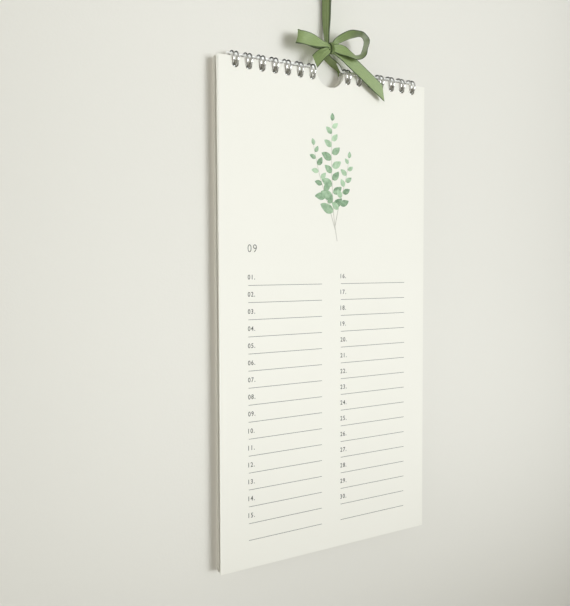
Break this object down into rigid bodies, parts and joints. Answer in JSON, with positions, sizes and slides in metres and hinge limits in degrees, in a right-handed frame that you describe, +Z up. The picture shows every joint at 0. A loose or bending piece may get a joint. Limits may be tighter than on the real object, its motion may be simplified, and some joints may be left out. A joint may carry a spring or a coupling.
{
  "type": "birthday calendar",
  "caption": "Tall narrow wall calendar of card sheets on twin-loop wire, with a wire hanger in a thumb cut and a satin ribbon bow to hang it by.",
  "frame": {"origin": "where the ribbon's hang loop rests on the nail, at the middle of the calendar's width and in the depth of the wire loops' axis", "axes": "+Z up, +X along the binding to the right, +Y into the wall; the page that is read faces -Y"},
  "size_m": [0.1484, 0.0157, 0.3478],
  "materials": {
    "card": "uncoated off-white card",
    "binding_wire": "bright drawn steel wire",
    "hanger_wire": "white coated wire",
    "satin": "green satin ribbon"
  },
  "bodies": {
    "binding": {"binding_wire_left": "binding_wire", "binding_wire_right": "binding_wire", "hanger": "hanger_wire", "ribbon": "satin"},
    "front": {"front_pages": "card"},
    "turned": {"turned_pages": "card"}
  },
  "joints": [
    {"name": "front_pages_lift", "type": "hinge", "parent": "binding", "child": "front", "pos_m": [0, 0, -0.0508], "axis": [-1, 0, 0], "range_deg": [0, 55], "deforming": ["ribbon"]},
    {"name": "turned_pages_lift", "type": "hinge", "parent": "binding", "child": "turned", "pos_m": [0, 0, -0.0508], "axis": [1, 0, 0], "range_deg": [0, 55]}
  ]
}
